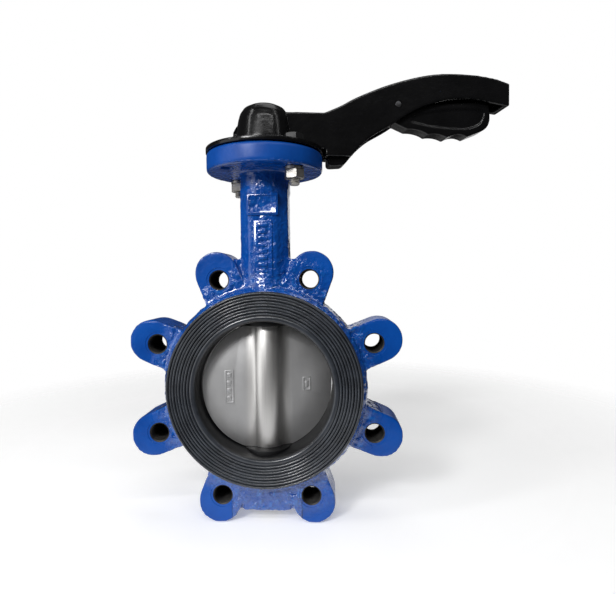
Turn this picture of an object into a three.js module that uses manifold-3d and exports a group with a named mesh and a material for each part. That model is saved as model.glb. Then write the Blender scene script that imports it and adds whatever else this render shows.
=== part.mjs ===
// A lugged, lever-operated butterfly valve of nominal size DN 100, in millimetres.
// Origin: the centre of the bore, where the bore's axis (Y) crosses the stem's axis (Z). +Z is up the stem.
// With the valve shut the lever points along +X; it is stored one notch open.
import * as THREE from "three";
import { mergeVertices } from "three/addons/utils/BufferGeometryUtils.js";
import Module from "manifold-3d";

const wasm = await Module();
wasm.setup();

// ---- Driving dimensions -------------------------------------------------------------------------

const FINE = 48; // facets round a large circle
const MEDIUM = 24; // facets round a small one
const COARSE = 16; // facets round a hole or a pin
const GAP = 0.3; // clearance kept between neighbouring solids
const OPEN_ANGLE = 10; // degrees that the stem stands open at rest

// Body casting
const BARREL_HALF_WIDTH = 23;
const BARREL_RADIUS = 78;
const BARREL_FACE_RADIUS = 74.5;
const LINER_BED_RADIUS = 60.3;
const LUG_COUNT = 8;
const LUG_CIRCLE_RADIUS = 90;
const LUG_HALF_WIDTH = 16;
const LUG_RADIUS = 16.5;
const LUG_END_OFFSET = 5.5;
const LUG_HOLE_RADIUS = 6.95;
const NECK_HALF = { x: 18.5, y: 17.5, chamfer: 8 };
const FOOT_BOSS = { x: 22, y: 15.5, chamfer: 6, bottom: -95.5 };
const FLANGE = { radius: 45, bottom: 165.5, top: 180, chamfer: 1.5 };
const BOLT_CIRCLE_RADIUS = 35;
const BOLT_HOLE_RADIUS = 4.5;

// Liner, disc and stems
const BORE_RADIUS = 51.3;
const LINER_LIP_RADIUS = 53.4;
const LINER_RIM_RADIUS = 74.4;
const LINER_FACE = 26.6;
const DISC_RADIUS = 51;
const DISC_FLAT = 47.2;
const DISC_BOSS_RADIUS = 12.5;
const STEM_RADIUS = 8;
const STEM_SQUARE = 11;
const STEM_COLLAR = { radius: 11.5, bottom: 144, top: 147.5 };
const STEM_TOP = 207;
const PACKING_BORE_RADIUS = 11.2;
const GUIDE_BORE = { radius: 12.8, bottom: 143.5 };
const CLIP_GROOVE = { radius: 14.3, bottom: 176, top: 177.8 };
const PLUG_BORE = { radius: 13.4, top: -88 };

// Notch plate, lever and trigger
const PLATE = { radius: 45.5, bottom: FLANGE.top + GAP, thickness: 3 };
const PLATE_TOP = PLATE.bottom + PLATE.thickness;
const NOTCH_COUNT = 10;
const NOTCH_STEP = 10;
const NOTCH_DEPTH = 3.7;
const NOTCH_HALF_WIDTH = 2.4;
const LEVER_HALF_WIDTH = 11.5;
const CHANNEL_HALF_WIDTH = 8.5;
const TRIGGER_HALF_WIDTH = 7;
const TOOTH = { inner: 46.3, low: 177.6, high: 183.5, halfWidth: 2 };
const NOSE_FACE = 49;
const PIVOT = new THREE.Vector2(105, 220);
const PIN_RADIUS = 2.5;
const HUB_BOSS = [-12, 7];
const SCREW_HEIGHT = 198;
const SPRING_SLOT = { half: 3.6, from: 98, to: 124, floor: 211 };

// ---- Materials ----------------------------------------------------------------------------------

const bluePaint = new THREE.MeshStandardMaterial({ color: 0x1450a8, roughness: 0.3, metalness: 0.1 });
const blackPaint = new THREE.MeshStandardMaterial({ color: 0x0c0c0d, roughness: 0.35, metalness: 0.1 });
const rubber = new THREE.MeshStandardMaterial({ color: 0x24262a, roughness: 0.6, metalness: 0 });
const stainless = new THREE.MeshStandardMaterial({ color: 0xb9b9b8, roughness: 0.35, metalness: 1 });
const zinc = new THREE.MeshStandardMaterial({ color: 0xa9a59b, roughness: 0.4, metalness: 1 });
const springSteel = new THREE.MeshStandardMaterial({ color: 0x55565a, roughness: 0.4, metalness: 1 });
const bearing = new THREE.MeshStandardMaterial({ color: 0xe4e2da, roughness: 0.6, metalness: 0 });
const castSteel = new THREE.MeshStandardMaterial({ color: 0x7a7a78, roughness: 0.5, metalness: 0.8 });

// ---- Solids and meshes --------------------------------------------------------------------------

const v2 = (x, y) => new THREE.Vector2(x, y);
const radians = THREE.MathUtils.degToRad;

// A closed geometry as a solid, and a solid back as a geometry.
function solid(geometry) {
  const bare = geometry.index ? geometry.toNonIndexed() : geometry.clone();
  bare.deleteAttribute("normal");
  bare.deleteAttribute("uv");
  const merged = mergeVertices(bare, 1e-4);
  const vertProperties = merged.attributes.position.array;
  const triVerts = new Uint32Array(merged.index.array);
  return new wasm.Manifold(new wasm.Mesh({ numProp: 3, vertProperties, triVerts }));
}

function geometryOf(body) {
  const { numProp, numVert, vertProperties, triVerts } = body.getMesh();
  const positions = new Float32Array(numVert * 3);
  for (let i = 0; i < numVert; i++) {
    positions.set(vertProperties.subarray(i * numProp, i * numProp + 3), i * 3);
  }
  const geometry = new THREE.BufferGeometry();
  geometry.setAttribute("position", new THREE.BufferAttribute(positions, 3));
  geometry.setIndex(new THREE.BufferAttribute(new Uint32Array(triVerts), 1));
  geometry.computeVertexNormals();
  return geometry;
}

function add(group, name, shape, material) {
  const geometry = shape.isBufferGeometry ? shape : geometryOf(shape);
  const mesh = new THREE.Mesh(geometry, material);
  mesh.name = name;
  group.add(mesh);
  return mesh;
}

const joinAll = (solids) => solids.reduce((whole, piece) => whole.add(piece));
const cutAll = (whole, tools) => tools.reduce((rest, tool) => rest.subtract(tool), whole);

// Turns a profile of (radius, height) about the Y axis. The profile closes on itself.
function turnedY(points, facets = FINE) {
  const closed = [...points, points[0]];
  if (THREE.ShapeUtils.area(points) < 0) closed.reverse();
  return new THREE.LatheGeometry(closed, facets);
}

const turnedZ = (points, facets = MEDIUM) => turnedY(points, facets).rotateX(Math.PI / 2);

function rodZ(radius, bottom, top, facets = MEDIUM) {
  const rod = new THREE.CylinderGeometry(radius, radius, top - bottom, facets);
  return rod.rotateX(Math.PI / 2).translate(0, 0, (top + bottom) / 2);
}

function rodY(radius, x, z, halfLength, facets = COARSE) {
  return new THREE.CylinderGeometry(radius, radius, 2 * halfLength, facets).translate(x, 0, z);
}

function ringZ(inner, outer, bottom, top, facets = MEDIUM) {
  return turnedZ([v2(inner, bottom), v2(outer, bottom), v2(outer, top), v2(inner, top)], facets);
}

// A block centred on the Z axis, from one height to another.
function block(halfX, halfY, low, high) {
  return new THREE.BoxGeometry(2 * halfX, 2 * halfY, high - low).translate(0, 0, (high + low) / 2);
}

// Extrudes a shape drawn in X and Z across the Y axis, to both sides.
function acrossY(shape, halfWidth, curveSegments = 8) {
  const options = { depth: 2 * halfWidth, bevelEnabled: false, curveSegments };
  return new THREE.ExtrudeGeometry(shape, options).rotateX(Math.PI / 2).translate(0, halfWidth, 0);
}

// Extrudes a shape drawn in X and Y up the Z axis.
function upZ(shape, bottom, top, curveSegments = 8) {
  const options = { depth: top - bottom, bevelEnabled: false, curveSegments };
  return new THREE.ExtrudeGeometry(shape, options).translate(0, 0, bottom);
}

// A rectangle with its four corners cut off, as a shape.
function chamferedRectangle({ x, y, chamfer }) {
  const c = chamfer;
  return new THREE.Shape([
    v2(x - c, -y),
    v2(x, -y + c),
    v2(x, y - c),
    v2(x - c, y),
    v2(-x + c, y),
    v2(-x, y - c),
    v2(-x, -y + c),
    v2(-x + c, -y),
  ]);
}

// A hexagon of the given distance across its flats.
function hexagon(acrossFlats) {
  const corner = acrossFlats / Math.sqrt(3);
  const turn = (i) => (i * Math.PI) / 3;
  return new THREE.Shape(
    [0, 1, 2, 3, 4, 5].map((i) => v2(corner * Math.cos(turn(i)), corner * Math.sin(turn(i)))),
  );
}

function roundHole(shape, x, y, radius) {
  const hole = new THREE.Path();
  hole.absarc(x, y, radius, 0, 2 * Math.PI, true);
  shape.holes.push(hole);
}

// ---- Body casting -------------------------------------------------------------------------------

function barrel() {
  const edge = BARREL_HALF_WIDTH;
  return turnedY([
    v2(LINER_BED_RADIUS, -edge),
    v2(BARREL_FACE_RADIUS, -edge),
    v2(BARREL_RADIUS, -edge + 7),
    v2(BARREL_RADIUS, edge - 7),
    v2(BARREL_FACE_RADIUS, edge),
    v2(LINER_BED_RADIUS, edge),
    v2(LINER_BED_RADIUS, 6 + GAP),
    v2(64 + GAP, 6 + GAP),
    v2(64 + GAP, -6 - GAP),
    v2(LINER_BED_RADIUS, -6 - GAP),
  ]);
}

// One lug, pointing along the given angle from +X.
function lug(angle) {
  const end = LUG_CIRCLE_RADIUS + LUG_END_OFFSET;
  const shape = new THREE.Shape();
  shape.moveTo(66, -LUG_RADIUS);
  shape.lineTo(end, -LUG_RADIUS);
  shape.absarc(end, 0, LUG_RADIUS, -Math.PI / 2, Math.PI / 2, false);
  shape.lineTo(66, LUG_RADIUS);
  return acrossY(shape, LUG_HALF_WIDTH, 10).rotateY(-angle);
}

function lugAngles() {
  const step = (2 * Math.PI) / LUG_COUNT;
  return Array.from({ length: LUG_COUNT }, (_, i) => step * (i + 0.5));
}

const lugs = () => lugAngles().map((angle) => solid(lug(angle)));

function lugHoles() {
  return lugAngles().map((angle) => {
    return solid(rodY(LUG_HOLE_RADIUS, LUG_CIRCLE_RADIUS, 0, 20).rotateY(-angle));
  });
}

function topFlange() {
  const { radius, bottom, top, chamfer } = FLANGE;
  const edge = radius - chamfer;
  const rim = [v2(edge, bottom), v2(radius, bottom + chamfer), v2(radius, top - chamfer), v2(edge, top)];
  return turnedZ([v2(0, bottom), ...rim, v2(0, top)], FINE);
}

function neckAndFlange() {
  return [
    solid(upZ(chamferedRectangle(NECK_HALF), 66, 150)),
    solid(rodZ(NECK_HALF.x, 145, FLANGE.bottom + 1, FINE / 2)),
    solid(topFlange()),
    solid(block(33, 11, 66, 99)),
    solid(upZ(chamferedRectangle(FOOT_BOSS), FOOT_BOSS.bottom, -66)),
  ];
}

// Blank raised pads on the neck's front and back.
function castPads() {
  const depth = NECK_HALF.y + 0.8;
  return [block(9.5, depth, 132, 149), block(5, depth, 86, 126)].map(solid);
}

function boltHoles() {
  return [45, 135, 225, 315].map((angle) => {
    const hole = rodZ(BOLT_HOLE_RADIUS, FLANGE.bottom - 1, FLANGE.top + 1, COARSE);
    return solid(hole.translate(...boltPlace(angle)));
  });
}

function boltPlace(angle) {
  const turn = radians(angle);
  return [BOLT_CIRCLE_RADIUS * Math.cos(turn), BOLT_CIRCLE_RADIUS * Math.sin(turn), 0];
}

function stemBores() {
  return [
    rodZ(PACKING_BORE_RADIUS, 55, FLANGE.top + 1),
    rodZ(GUIDE_BORE.radius, GUIDE_BORE.bottom, FLANGE.top + 1),
    rodZ(CLIP_GROOVE.radius, CLIP_GROOVE.bottom, CLIP_GROOVE.top),
    rodZ(PACKING_BORE_RADIUS, FOOT_BOSS.bottom - 1, -55),
    rodZ(PLUG_BORE.radius, FOOT_BOSS.bottom - 1, PLUG_BORE.top),
  ].map(solid);
}

// What fills the barrel's inside is cut away, so that lugs, neck and foot end at its inner wall.
function lugBody() {
  const inside = solid(
    new THREE.CylinderGeometry(LINER_BED_RADIUS, LINER_BED_RADIUS, 60, FINE),
  );
  const outside = joinAll([...lugs(), ...neckAndFlange(), ...castPads()]).subtract(inside);
  return cutAll(outside.add(solid(barrel())), [...lugHoles(), ...boltHoles(), ...stemBores()]);
}

// ---- Liner --------------------------------------------------------------------------------------

// Half of the liner's outline, from its middle to one face: bore, lip, sealing ridges, rim, back, rib.
function linerHalf() {
  const face = LINER_FACE;
  const outline = [v2(BORE_RADIUS, 0), v2(BORE_RADIUS, 18), v2(52, 23.5), v2(LINER_LIP_RADIUS, face)];
  outline.push(v2(57.2, face));
  for (const radius of [59, 63.4, 67.9, 72.4]) {
    outline.push(v2(radius, face - 1.2), v2(Math.min(radius + 2.2, LINER_RIM_RADIUS), face));
  }
  const back = BARREL_HALF_WIDTH + GAP;
  const bed = LINER_BED_RADIUS - GAP;
  outline.push(v2(LINER_RIM_RADIUS, back), v2(bed, back), v2(bed, 6), v2(64, 6));
  return outline;
}

function seatLiner() {
  const half = linerHalf();
  const mirrored = half.slice(1).map((p) => v2(p.x, -p.y));
  const ring = solid(turnedY([...half, ...mirrored.reverse()]));
  const pads = [1, -1].map((side) => {
    const pad = rodZ(19.3, Math.min(side * 47.5, side * 57), Math.max(side * 47.5, side * 57), MEDIUM);
    return solid(pad);
  });
  const holes = solid(rodZ(STEM_RADIUS + GAP, -70, 70));
  return joinAll([ring, ...pads]).subtract(holes);
}

// ---- Disc and stems -----------------------------------------------------------------------------

// The disc's section across the stem: a round boss that runs out into two tapering wings.
function discSection() {
  const boss = DISC_BOSS_RADIUS;
  const root = v2(17, 5.4);
  const tip = v2(52, 3.2);
  const shape = new THREE.Shape();
  const quarter = (sx, sy) => {
    const arc = [78, 56, 35].map((a) => v2(boss * Math.cos(radians(a)), boss * Math.sin(radians(a))));
    const points = [v2(0, boss), ...arc, v2(12.7, 5.9), root, tip];
    return points.map((p) => v2(sx * p.x, sy * p.y));
  };
  const outline = [
    ...quarter(1, 1),
    ...quarter(1, -1).reverse(),
    ...quarter(-1, -1).slice(1),
    ...quarter(-1, 1).reverse().slice(0, -1),
  ];
  return shape.setFromPoints(outline);
}

// A ball's middle slice, turned about the bore's axis: the disc's rim is part of a ball.
function ballSlice(radius, halfWidth) {
  const points = [v2(0, -halfWidth)];
  for (let y = -halfWidth; y <= halfWidth; y += halfWidth / 6) {
    points.push(v2(Math.sqrt(radius * radius - y * y), y));
  }
  points.push(v2(0, halfWidth));
  return turnedY(points);
}

function disc() {
  const plate = solid(upZ(discSection(), -DISC_FLAT, DISC_FLAT));
  const socket = STEM_SQUARE / 2 + GAP;
  return cutAll(plate.intersect(solid(ballSlice(DISC_RADIUS, 15))), [
    solid(block(socket, socket, 18, 60)),
    solid(rodZ(STEM_RADIUS + GAP / 2, -60, -20)),
  ]);
}

function upperStem() {
  const square = STEM_SQUARE / 2;
  return joinAll([
    solid(rodZ(STEM_RADIUS, 48, PLATE_TOP)),
    solid(rodZ(STEM_COLLAR.radius, STEM_COLLAR.bottom, STEM_COLLAR.top)),
    solid(block(square, square, 18.5, 49)),
    solid(block(square, square, PLATE_TOP - 1, STEM_TOP)),
  ]);
}

// ---- Stem guides, seals and retainers -----------------------------------------------------------

function addStemParts(group) {
  const inner = STEM_RADIUS + GAP;
  const packing = PACKING_BORE_RADIUS - GAP;
  const guide = GUIDE_BORE.radius - GAP;
  add(group, "neck_bush_lower", ringZ(inner, packing, 84, 122), bearing);
  add(group, "neck_bush_upper", ringZ(inner, guide, 150, 173.4), bearing);
  add(group, "thrust_washer", ringZ(inner, guide, 173.7, 175.7), stainless);
  add(group, "bottom_bush", ringZ(inner, packing, -86, -65), bearing);
  for (const [i, height] of [126, 132].entries()) {
    const ring = new THREE.TorusGeometry(9.75, 1.2, 6, MEDIUM).translate(0, 0, height);
    add(group, `stem_o_ring_${i + 1}`, ring, rubber);
  }
  add(group, "retaining_ring", retainingRing(), springSteel);
  add(group, "plug_gasket", ringZ(9.5, PLUG_BORE.radius - GAP, -89.4, PLUG_BORE.top - GAP), rubber);
  add(group, "bottom_plug", bottomPlug(), zinc);
}

// An open spring ring with an eye at each end.
function retainingRing() {
  const outer = CLIP_GROOVE.radius - GAP;
  const inner = outer - 2;
  const open = radians(20);
  const shape = new THREE.Shape();
  shape.absarc(0, 0, outer, open, 2 * Math.PI - open, false);
  shape.absarc(0, 0, inner - 2.2, 2 * Math.PI - open, 2 * Math.PI - 2.2 * open, true);
  shape.absarc(0, 0, inner, 2 * Math.PI - 2.4 * open, 2.4 * open, true);
  shape.absarc(0, 0, inner - 2.2, 2.2 * open, open, true);
  return upZ(shape, CLIP_GROOVE.bottom + GAP, CLIP_GROOVE.top - GAP, 12);
}

function bottomPlug() {
  const plug = solid(rodZ(PLUG_BORE.radius - GAP, FOOT_BOSS.bottom + GAP, -89.7));
  const socket = solid(upZ(hexagon(10), FOOT_BOSS.bottom - 1, -91.5));
  return plug.subtract(socket);
}

// ---- Notch plate and its fasteners --------------------------------------------------------------

function notchPlate() {
  const shape = new THREE.Shape();
  const half = Math.asin(NOTCH_HALF_WIDTH / PLATE.radius);
  const floor = PLATE.radius - NOTCH_DEPTH;
  let from = radians((NOTCH_COUNT - 1) * NOTCH_STEP) + half - 2 * Math.PI;
  for (let i = 0; i < NOTCH_COUNT; i++) {
    const middle = radians(i * NOTCH_STEP);
    shape.absarc(0, 0, PLATE.radius, from, middle - half, false);
    const across = v2(-Math.sin(middle), Math.cos(middle)).multiplyScalar(NOTCH_HALF_WIDTH);
    const foot = v2(Math.cos(middle), Math.sin(middle)).multiplyScalar(floor);
    shape.lineTo(foot.x - across.x, foot.y - across.y);
    shape.lineTo(foot.x + across.x, foot.y + across.y);
    from = middle + half;
  }
  shape.closePath();
  roundHole(shape, 0, 0, 9.6);
  for (const angle of [135, 315]) {
    const [x, y] = boltPlace(angle);
    roundHole(shape, x, y, BOLT_HOLE_RADIUS);
  }
  return upZ(shape, PLATE.bottom, PLATE_TOP, 6);
}

function plateBolt() {
  const shank = solid(rodZ(3.95, 153.5, PLATE_TOP + 2, COARSE));
  return shank.add(solid(upZ(hexagon(13), PLATE_TOP + GAP, PLATE_TOP + 5.6)));
}

function plateNut() {
  return solid(upZ(hexagon(13), 156.7, 163)).subtract(solid(rodZ(4.25, 150, 170, COARSE)));
}

// A split spring washer.
function lockWasher() {
  const ring = solid(ringZ(4.25, 7, 163.3, 165.2, COARSE));
  return ring.subtract(solid(new THREE.BoxGeometry(6, 0.8, 4).translate(5.5, 0, 164.2)));
}

function addFasteners(group) {
  for (const [name, angle] of [["front", 315], ["rear", 135]]) {
    const place = new THREE.Group();
    place.position.set(...boltPlace(angle));
    group.add(place);
    add(place, `plate_bolt_${name}`, plateBolt(), zinc);
    add(place, `plate_nut_${name}`, plateNut(), zinc);
    add(place, `lock_washer_${name}`, lockWasher(), zinc);
  }
}

// ---- Lever --------------------------------------------------------------------------------------

// The lever's back, from the hub to the tip of the handle.
const LEVER_BACK = [
  [46, 211.5], [59, 217.3], [72, 224.3], [98, 235], [126, 242.8], [148, 245.4], [170, 245], [187, 242.8],
].map(([x, z]) => v2(x, z));
const LEVER_TIP = v2(198, 239.5);

// Its side walls' lower edge, from the tip back to the hub.
const LEVER_EDGE = [
  [178.5, 224.6], [164, 226.4], [148, 225.4], [131, 221], [116, 214.4], [98, 203], [84, 195], [74, 186.6],
].map(([x, z]) => v2(x, z));

function leverSide() {
  const shape = new THREE.Shape();
  shape.moveTo(8, PLATE_TOP + 1);
  shape.lineTo(46.5, PLATE_TOP + 1);
  shape.lineTo(46.5, 178.6);
  shape.lineTo(67, 178.6);
  shape.splineThru([...LEVER_EDGE].reverse());
  shape.lineTo(LEVER_TIP.x, 221.6);
  shape.lineTo(LEVER_TIP.x, LEVER_TIP.y);
  shape.splineThru([...LEVER_BACK].reverse());
  shape.lineTo(8, 211);
  return shape;
}

// The hollow under the lever's back: open below, closed at the tip and at the hub.
function leverHollow() {
  const roof = 4;
  const shape = new THREE.Shape();
  shape.moveTo(38, 170);
  shape.lineTo(LEVER_TIP.x - roof, 170);
  shape.lineTo(LEVER_TIP.x - roof, LEVER_TIP.y - roof - 1);
  shape.splineThru(LEVER_BACK.map((p) => v2(p.x, p.y - roof)).reverse());
  shape.lineTo(38, 211 - roof);
  return shape;
}

// A tapering round hub over the stem, with a rounded clamp boss on the side away from the handle.
function leverHub() {
  const base = PLATE_TOP + GAP;
  const round = turnedZ([
    v2(0, base), v2(22.7, base), v2(22.7, 190), v2(21.6, 197), v2(20, 206),
    v2(18.3, 211), v2(15.2, 215), v2(10, 217.4), v2(0, 218),
  ], FINE / 2);
  const boss = turnedZ([
    v2(0, base), v2(12.5, base), v2(12.5, 199), v2(10, 203.5), v2(6, 205.5), v2(0, 206),
  ], MEDIUM).translate(...HUB_BOSS, 0);
  return solid(round).add(solid(boss));
}

function lever() {
  const arm = solid(acrossY(leverSide(), LEVER_HALF_WIDTH, 3));
  const hollow = solid(acrossY(leverHollow(), CHANNEL_HALF_WIDTH, 3));
  const socket = STEM_SQUARE / 2 + GAP;
  return cutAll(arm.subtract(hollow).add(leverHub()), [
    solid(block(socket, socket, 170, STEM_TOP + 1)),
    solid(rodY(PIN_RADIUS + GAP, PIVOT.x, PIVOT.y, 20)),
    solid(screwRod(4, -32, -4)),
  ]);
}

// A rod along X at the clamp screw's height.
function screwRod(radius, from, to) {
  const rod = new THREE.CylinderGeometry(radius, radius, to - from, COARSE);
  return rod.rotateZ(Math.PI / 2).translate((from + to) / 2, 0, SCREW_HEIGHT);
}

// The socket set screw that holds the hub on the stem's square.
function clampScrew() {
  const socket = upZ(hexagon(4), 0, 8).rotateY(-Math.PI / 2).translate(-14, 0, SCREW_HEIGHT);
  return solid(screwRod(3.7, -18, -STEM_SQUARE / 2 - GAP)).subtract(solid(socket));
}

// ---- Trigger ------------------------------------------------------------------------------------

// The trigger from the side: nose, arm inside the lever, finger grip with four hollows, pivot eye.
function triggerSide() {
  const shape = new THREE.Shape();
  shape.moveTo(NOSE_FACE, 174.5);
  shape.quadraticCurveTo(NOSE_FACE + 0.2, 172, 52, 171.9);
  shape.lineTo(60, 172.4);
  shape.quadraticCurveTo(64, 173.4, 66.5, 180);
  shape.lineTo(80, 195);
  shape.lineTo(94, 203.4);
  shape.lineTo(102.5, 207);
  shape.lineTo(114, 202.2);
  shape.quadraticCurveTo(124, 202.8, 131, 198.4);
  shape.quadraticCurveTo(139.5, 200.2, 147, 196.4);
  shape.quadraticCurveTo(156, 201.6, 164, 197.4);
  shape.lineTo(177, 202.6);
  shape.quadraticCurveTo(183.6, 205.6, 183.6, 214);
  shape.lineTo(182.8, 222);
  shape.quadraticCurveTo(182.4, 226, 178, 225.6);
  shape.lineTo(140, 223);
  shape.lineTo(112, 222);
  shape.absarc(PIVOT.x, PIVOT.y, 7, 0.3, 2.6, false);
  shape.lineTo(84, 211);
  shape.lineTo(66, 196);
  shape.lineTo(60, 192);
  shape.lineTo(NOSE_FACE, 190);
  roundHole(shape, PIVOT.x, PIVOT.y, PIN_RADIUS + GAP);
  return shape;
}

function trigger() {
  const whole = solid(acrossY(triggerSide(), TRIGGER_HALF_WIDTH, 5));
  const { inner, low, high, halfWidth } = TOOTH;
  const tooth = new THREE.BoxGeometry(NOSE_FACE - inner + 3, 2 * halfWidth, high - low);
  tooth.translate((NOSE_FACE + inner + 3) / 2, 0, (high + low) / 2);
  const { half, from, to, floor } = SPRING_SLOT;
  const slot = new THREE.BoxGeometry(to - from, 2 * half, 30);
  slot.translate((from + to) / 2, 0, floor + 15);
  return whole.add(solid(tooth)).subtract(solid(slot));
}

// A torsion spring round the pivot pin: one leg up to the lever's roof, one leg down on the trigger.
function triggerSpring() {
  const radius = 4.3;
  const turns = 4;
  const halfLength = 2.6;
  const points = [new THREE.Vector3(PIVOT.x + 15, -halfLength, PIVOT.y + 14)];
  for (let i = 0; i <= 12 * turns + 6; i++) {
    const share = i / (12 * turns + 6);
    const turn = Math.PI / 2 + 2 * Math.PI * (turns + 0.5) * share;
    const y = halfLength * (2 * share - 1);
    points.push(
      new THREE.Vector3(PIVOT.x + radius * Math.cos(turn), y, PIVOT.y + radius * Math.sin(turn)),
    );
  }
  points.push(new THREE.Vector3(PIVOT.x + 16, halfLength, PIVOT.y - 5.4));
  const wire = new THREE.Shape();
  wire.absarc(0, 0, 0.5, 0, 2 * Math.PI, false);
  const extrudePath = new THREE.CatmullRomCurve3(points, false, "centripetal");
  const options = { steps: 60, extrudePath, curveSegments: 3, bevelEnabled: false };
  return new THREE.ExtrudeGeometry(wire, options);
}

// ---- Assembly -----------------------------------------------------------------------------------

const valve = new THREE.Group();
add(valve, "lug_body", lugBody(), bluePaint);
add(valve, "seat_liner", seatLiner(), rubber);
addStemParts(valve);
add(valve, "notch_plate", notchPlate(), blackPaint);
addFasteners(valve);

// Everything that turns with the stem is drawn with the valve shut and then turned to its rest angle.
const turning = new THREE.Group();
turning.rotation.z = radians(OPEN_ANGLE);
valve.add(turning);
add(turning, "disc", disc(), stainless);
add(turning, "upper_stem", upperStem(), stainless);
add(turning, "lower_stem", rodZ(STEM_RADIUS, -87, -20.5), stainless);
add(turning, "lever", lever(), blackPaint);
add(turning, "clamp_screw", clampScrew(), springSteel);
add(turning, "trigger_pin", rodY(PIN_RADIUS, PIVOT.x, PIVOT.y, LEVER_HALF_WIDTH - 0.2), castSteel);
add(turning, "trigger_spring", triggerSpring(), springSteel);
add(turning, "trigger", trigger(), blackPaint);

export default valve;
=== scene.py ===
"""The looks of a lugged, lever-operated butterfly valve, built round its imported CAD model.

Lengths here are in millimetres and become metres where a shape is made. The origin is the centre of the
bore, Z goes up the stem and Y along the pipe. Pieces that turn with the stem are drawn with the valve
shut and then turned to the angle that the valve is stored at.
"""

import math

import bpy
from mathutils import Matrix, Vector


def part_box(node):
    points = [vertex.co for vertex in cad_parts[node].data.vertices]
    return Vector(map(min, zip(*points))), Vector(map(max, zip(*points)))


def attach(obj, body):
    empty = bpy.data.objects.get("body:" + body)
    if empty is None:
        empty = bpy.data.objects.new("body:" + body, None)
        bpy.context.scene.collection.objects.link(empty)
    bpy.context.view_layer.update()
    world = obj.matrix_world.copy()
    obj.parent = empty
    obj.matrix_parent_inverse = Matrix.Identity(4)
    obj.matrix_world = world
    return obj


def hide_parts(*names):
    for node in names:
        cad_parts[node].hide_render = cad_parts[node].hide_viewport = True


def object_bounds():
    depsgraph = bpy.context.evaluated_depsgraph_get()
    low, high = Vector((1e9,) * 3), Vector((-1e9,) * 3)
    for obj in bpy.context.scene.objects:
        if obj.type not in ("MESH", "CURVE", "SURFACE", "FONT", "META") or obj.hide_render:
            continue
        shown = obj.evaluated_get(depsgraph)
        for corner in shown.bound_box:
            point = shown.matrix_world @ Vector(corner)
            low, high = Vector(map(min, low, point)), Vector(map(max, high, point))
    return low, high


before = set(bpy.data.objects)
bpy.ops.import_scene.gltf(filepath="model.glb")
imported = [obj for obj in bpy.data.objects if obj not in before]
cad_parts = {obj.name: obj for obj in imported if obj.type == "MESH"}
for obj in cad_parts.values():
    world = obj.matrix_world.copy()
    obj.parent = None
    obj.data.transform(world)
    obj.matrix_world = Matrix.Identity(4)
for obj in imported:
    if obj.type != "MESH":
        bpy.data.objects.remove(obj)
cad_low, cad_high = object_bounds()

MM = 0.001
FULL_TURN = 2 * math.pi
OPEN_ANGLE = math.radians(10)
ACROSS, ALONG, UP = Vector((1, 0, 0)), Vector((0, 1, 0)), Vector((0, 0, 1))

# ---- Sizes that come from the CAD model, in millimetres -------------------------------------------

plate_low, plate_high = (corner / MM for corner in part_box("notch_plate"))
liner_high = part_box("seat_liner")[1] / MM
PLATE_BOTTOM, PLATE_TOP, PLATE_RADIUS = plate_low.z, plate_high.z, plate_high.x
FLANGE_TOP = PLATE_BOTTOM - 0.3
FLANGE_BOTTOM = FLANGE_TOP - 14.5
LINER_FACE, LINER_RADIUS = liner_high.y, liner_high.x
DISC_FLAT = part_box("disc")[1].z / MM
PLUG_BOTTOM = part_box("bottom_plug")[0].z / MM

# The trigger's pivot, in X and Z with the valve shut, and where the plate's screws stand.
PIVOT = (105.0, 220.0)
BOLT_CIRCLE = 35.0
ACROSS_FLATS = 13
FRONT_BOLT, REAR_BOLT = 315, 135

# ---- Camera, floor and light ----------------------------------------------------------------------


def make_camera():
    """A 28 mm lens a little above the bore, looking slightly down and to the left."""
    yaw, pitch, roll = (math.radians(a) for a in (-2.552, 2.224, -0.623))
    swing = Matrix(((math.cos(yaw), -math.sin(yaw), 0), (math.sin(yaw), math.cos(yaw), 0), (0, 0, 1)))
    nod = Matrix(((1, 0, 0), (0, math.cos(pitch), -math.sin(pitch)), (0, math.sin(pitch), math.cos(pitch))))
    lean = Matrix(((math.cos(roll), 0, math.sin(roll)), (0, 1, 0), (-math.sin(roll), 0, math.cos(roll))))
    right, forward, up = lean @ nod @ swing
    facing = Matrix((right, up, -forward)).transposed()
    lens = bpy.data.cameras.new("camera")
    lens.sensor_width, lens.lens, lens.clip_start = 36, 28.05, 0.01
    camera = bpy.data.objects.new("camera", lens)
    camera.matrix_world = Matrix.Translation(Vector((49.57, -378.6, 83.81)) * MM) @ facing.to_4x4()
    bpy.context.scene.collection.objects.link(camera)
    bpy.context.scene.camera = camera


def softbox(name, place, target, width, height, watts):
    """A lit panel that faces its target. Places and sizes are in metres."""
    lamp = bpy.data.lights.new(name, "AREA")
    lamp.shape, lamp.size, lamp.size_y, lamp.energy = "RECTANGLE", width, height, watts
    holder = bpy.data.objects.new(name, lamp)
    holder.location = place
    aim = Vector(target) - Vector(place)
    holder.rotation_euler = aim.to_track_quat("-Z", "Y").to_euler()
    bpy.context.scene.collection.objects.link(holder)


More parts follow.
